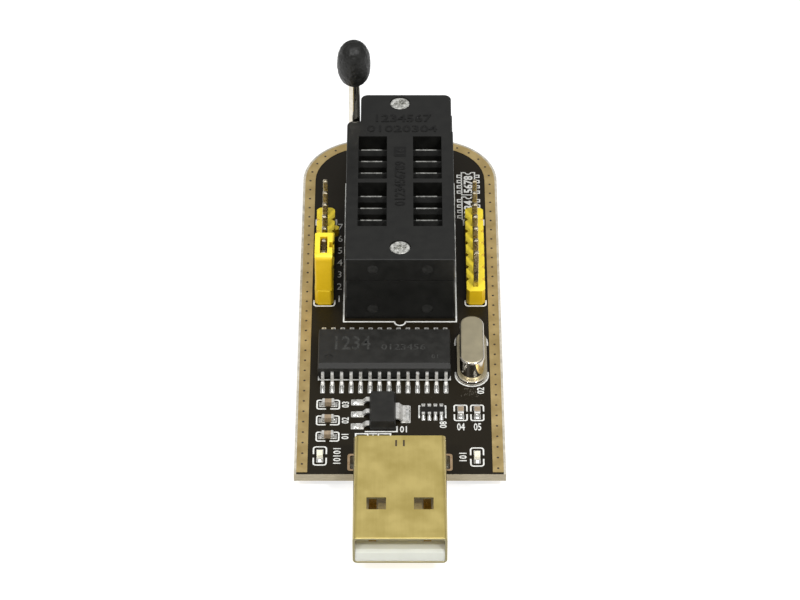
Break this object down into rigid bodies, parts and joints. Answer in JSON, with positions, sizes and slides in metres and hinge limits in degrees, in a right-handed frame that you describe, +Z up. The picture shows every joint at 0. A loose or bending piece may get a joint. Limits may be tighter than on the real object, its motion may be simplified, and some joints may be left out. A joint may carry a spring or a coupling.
{
  "type": "usb microcontroller programmer",
  "caption": "USB stick circuit board with a gold plug, a lever-operated zero insertion force chip socket, two pin headers and a removable jumper.",
  "frame": {"origin": "bottom centre of the bounding box, at the tips of the soldered pin stubs", "axes": "+Y from the USB plug to the socket's lever end, +Z up from the component side of the board"},
  "size_m": [0.0276, 0.0852, 0.0264],
  "materials": {
    "solder_mask": "satin epoxy mask",
    "laminate": "cut glass-epoxy edge",
    "pad_gold": "flash-gold copper, satin",
    "silk_white": "printed ink",
    "plug_gold": "satin gold plate with fine handling marks",
    "contact_gold": "bright gold flash",
    "plug_white": "moulded, satin",
    "socket_black": "fine moulded grain",
    "knob_black": "pebbled dipped vinyl",
    "rod_steel": "polished plated wire",
    "screw_steel": "zinc plated, mottled",
    "header_yellow": "moulded, satin",
    "pin_brass": "drawn and plated",
    "package_black": "moulded epoxy, fine grain",
    "lead_tin": "matte tin",
    "solder": "smooth, bright",
    "can_nickel": "polished nickel",
    "pad_insulator": "thin film",
    "ceramic_tan": "fired ceramic",
    "array_black": "glazed",
    "led_clear": "clear epoxy over a phosphor",
    "led_base": "white laminate",
    "mark_grey": "laser mark"
  },
  "bodies": {
    "main": {"board": "solder_mask", "capacitor_1_body": "ceramic_tan", "capacitor_1_ends": "lead_tin", "capacitor_2_body": "ceramic_tan", "capacitor_2_ends": "lead_tin", "capacitor_3_body": "ceramic_tan", "capacitor_3_ends": "lead_tin", "capacitor_4_body": "ceramic_tan", "capacitor_4_ends": "lead_tin", "capacitor_5_body": "ceramic_tan", "capacitor_5_ends": "lead_tin", "controller_body": "package_black", "controller_leads": "lead_tin", "crystal_base": "pad_insulator", "crystal_can": "can_nickel", "crystal_leads": "lead_tin", "crystal_solder": "solder", "header_left_housing": "header_yellow", "header_left_pins": "pin_brass", "header_left_solder": "solder", "header_right_housing": "header_yellow", "header_right_pins": "pin_brass", "header_right_solder": "solder", "led_power_base": "led_base", "led_power_lens": "led_clear", "led_power_terminals": "lead_tin", "led_run_base": "led_base", "led_run_lens": "led_clear", "led_run_terminals": "lead_tin", "regulator_body": "package_black", "regulator_leads": "lead_tin", "regulator_tab": "lead_tin", "resistor_array_body": "array_black", "resistor_array_terminals": "lead_tin", "usb_contacts": "contact_gold", "usb_insulator": "plug_white", "usb_shell": "plug_gold", "usb_solder": "solder", "zif_base": "socket_black", "zif_contacts_left": "contact_gold", "zif_contacts_right": "contact_gold", "zif_solder": "solder"},
    "lever": {"zif_lever": "rod_steel", "zif_knob": "knob_black"},
    "cover": {"zif_cover": "socket_black", "zif_screw_front": "screw_steel", "zif_screw_rear": "screw_steel", "zif_nut_front": "screw_steel", "zif_nut_rear": "screw_steel"},
    "jumper": {"jumper_cap": "header_yellow", "jumper_clip": "pin_brass"}
  },
  "joints": [
    {"name": "lever_turn", "type": "hinge", "parent": "main", "child": "lever", "pos_m": [0, 0.03475, 0.0087], "axis": [-1, 0, 0], "range_deg": [0, 90]},
    {"name": "cover_slide", "type": "slide", "parent": "main", "child": "cover", "axis": [0, -1, 0], "range_m": [0, 0.0012]},
    {"name": "jumper_pull", "type": "slide", "parent": "main", "child": "jumper", "axis": [0, 0, 1], "range_m": [0, 0.008]}
  ],
  "couplings": [
    {"joint": "lever_turn", "follows": "cover_slide", "rad_per_m": 1308.9}
  ]
}
